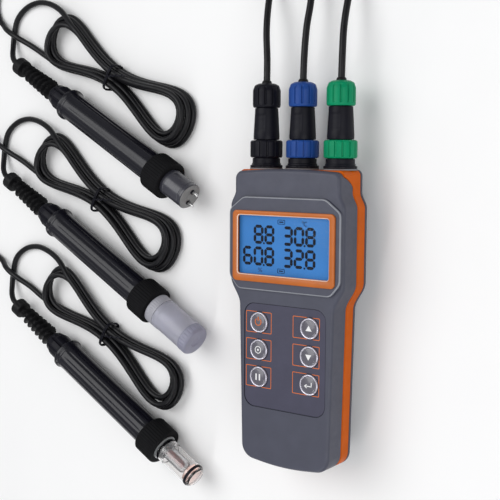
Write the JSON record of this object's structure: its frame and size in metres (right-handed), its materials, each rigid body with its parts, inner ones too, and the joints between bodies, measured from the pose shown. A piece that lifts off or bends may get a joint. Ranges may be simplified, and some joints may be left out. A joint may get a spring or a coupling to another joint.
{
  "type": "water quality probe",
  "caption": "Handheld water quality meter lying face up, with a conductivity, an oxygen and a pH probe plugged into its top and their cords tied in hanks.",
  "frame": {"origin": "middle of the meter's flat back, on the table that everything lies on", "axes": "+Z out of the meter's face, +Y along the meter towards its sockets, +X to the right as it is read"},
  "size_m": [0.3572, 0.3794, 0.0413],
  "materials": {
    "shell": "fine-textured blue-grey moulding",
    "band": "satin deep orange moulding",
    "bezel": "satin orange moulding with bright edges",
    "lens": "clear window",
    "screen": "lit blue screen with dark segments",
    "board": "solder-masked circuit board",
    "panel": "satin purple-grey overlay with orange outlines",
    "key_mat": "grey silicone",
    "key": "dark dome in a bright ring",
    "battery": "wrapped cells",
    "metal": "bare metal",
    "black": "satin black moulding",
    "gloss": "polished black tube",
    "rubber": "soft matte black",
    "cord": "satin black cable jacket",
    "blue": "satin blue moulding",
    "green": "satin green moulding",
    "tip": "dark moulded sensor body",
    "frosted": "frosted translucent cap",
    "bottle": "clear storage bottle",
    "glass": "glass electrode"
  },
  "bodies": {
    "meter": {"front_shell": "shell", "side_band": "band", "rear_shell": "shell", "display_bezel": "bezel", "display_window": "lens", "lcd_module": "screen", "main_board": "board", "keypad_panel": "panel", "key_mat": "key_mat", "batteries": "battery", "case_screw_1": "metal", "case_screw_2": "metal", "case_screw_3": "metal", "case_screw_4": "metal", "socket_oxygen": "black", "socket_conductivity": "black", "socket_ph": "black"},
    "battery_cover": {"battery_cover": "shell"},
    "key_power": {"key_power": "key"},
    "key_calibrate": {"key_calibrate": "key"},
    "key_hold": {"key_hold": "key"},
    "key_up": {"key_up": "key"},
    "key_down": {"key_down": "key"},
    "key_enter": {"key_enter": "key"},
    "oxygen_lead": {"oxygen_plug_body": "black", "oxygen_back_nut": "black", "oxygen_cord": "cord", "oxygen_cord_tail": "cord", "oxygen_cord_hank": "cord", "oxygen_strain_relief": "rubber", "oxygen_gland_nut": "black", "oxygen_barrel": "gloss", "oxygen_collar_nut": "black", "oxygen_sensor": "tip"},
    "oxygen_coupling_ring": {"oxygen_coupling_ring": "black"},
    "conductivity_lead": {"conductivity_plug_body": "black", "conductivity_back_nut": "blue", "conductivity_cord": "cord", "conductivity_cord_tail": "cord", "conductivity_cord_hank": "cord", "conductivity_strain_relief": "rubber", "conductivity_gland_nut": "black", "conductivity_barrel": "gloss", "conductivity_collar_nut": "black", "conductivity_sensor": "tip", "conductivity_electrodes": "metal"},
    "conductivity_coupling_ring": {"conductivity_coupling_ring": "blue"},
    "ph_lead": {"ph_plug_body": "black", "ph_back_nut": "green", "ph_cord": "cord", "ph_cord_tail": "cord", "ph_cord_hank": "cord", "ph_strain_relief": "rubber", "ph_gland_nut": "black", "ph_barrel": "gloss", "ph_collar_nut": "black", "ph_sensor": "glass"},
    "ph_coupling_ring": {"ph_coupling_ring": "green"},
    "oxygen_cap": {"oxygen_cap": "frosted"},
    "ph_storage_bottle": {"ph_storage_bottle": "bottle"}
  },
  "joints": [
    {"name": "key_power_press", "type": "slide", "parent": "meter", "child": "key_power", "axis": [0, 0, -1], "range_m": [0, 0.0008], "stiffness_N_per_m": 800},
    {"name": "key_calibrate_press", "type": "slide", "parent": "meter", "child": "key_calibrate", "axis": [0, 0, -1], "range_m": [0, 0.0008], "stiffness_N_per_m": 800},
    {"name": "key_hold_press", "type": "slide", "parent": "meter", "child": "key_hold", "axis": [0, 0, -1], "range_m": [0, 0.0008], "stiffness_N_per_m": 800},
    {"name": "key_up_press", "type": "slide", "parent": "meter", "child": "key_up", "axis": [0, 0, -1], "range_m": [0, 0.0008], "stiffness_N_per_m": 800},
    {"name": "key_down_press", "type": "slide", "parent": "meter", "child": "key_down", "axis": [0, 0, -1], "range_m": [0, 0.0008], "stiffness_N_per_m": 800},
    {"name": "key_enter_press", "type": "slide", "parent": "meter", "child": "key_enter", "axis": [0, 0, -1], "range_m": [0, 0.0008], "stiffness_N_per_m": 800},
    {"name": "battery_cover_slide", "type": "slide", "parent": "meter", "child": "battery_cover", "axis": [0, -1, 0], "range_m": [0, 0.02]},
    {"name": "oxygen_plug_pull", "type": "slide", "parent": "meter", "child": "oxygen_lead", "axis": [0, 1, 0], "range_m": [0, 0.01]},
    {"name": "oxygen_ring_turn", "type": "hinge", "parent": "oxygen_lead", "child": "oxygen_coupling_ring", "pos_m": [-0.0254, 0.098, 0.0205], "axis": [0, 1, 0], "continuous": true},
    {"name": "conductivity_plug_pull", "type": "slide", "parent": "meter", "child": "conductivity_lead", "axis": [0, 1, 0], "range_m": [0, 0.01]},
    {"name": "conductivity_ring_turn", "type": "hinge", "parent": "conductivity_lead", "child": "conductivity_coupling_ring", "pos_m": [0, 0.098, 0.0205], "axis": [0, 1, 0], "continuous": true},
    {"name": "ph_plug_pull", "type": "slide", "parent": "meter", "child": "ph_lead", "axis": [0, 1, 0], "range_m": [0, 0.01]},
    {"name": "ph_ring_turn", "type": "hinge", "parent": "ph_lead", "child": "ph_coupling_ring", "pos_m": [0.0254, 0.098, 0.0205], "axis": [0, 1, 0], "continuous": true},
    {"name": "oxygen_cap_pull", "type": "slide", "parent": "oxygen_lead", "child": "oxygen_cap", "axis": [0.8745, -0.4847, 0.0184], "range_m": [0, 0.026]},
    {"name": "ph_bottle_pull", "type": "slide", "parent": "ph_lead", "child": "ph_storage_bottle", "axis": [0.8745, -0.4847, 0.0184], "range_m": [0, 0.026]}
  ]
}
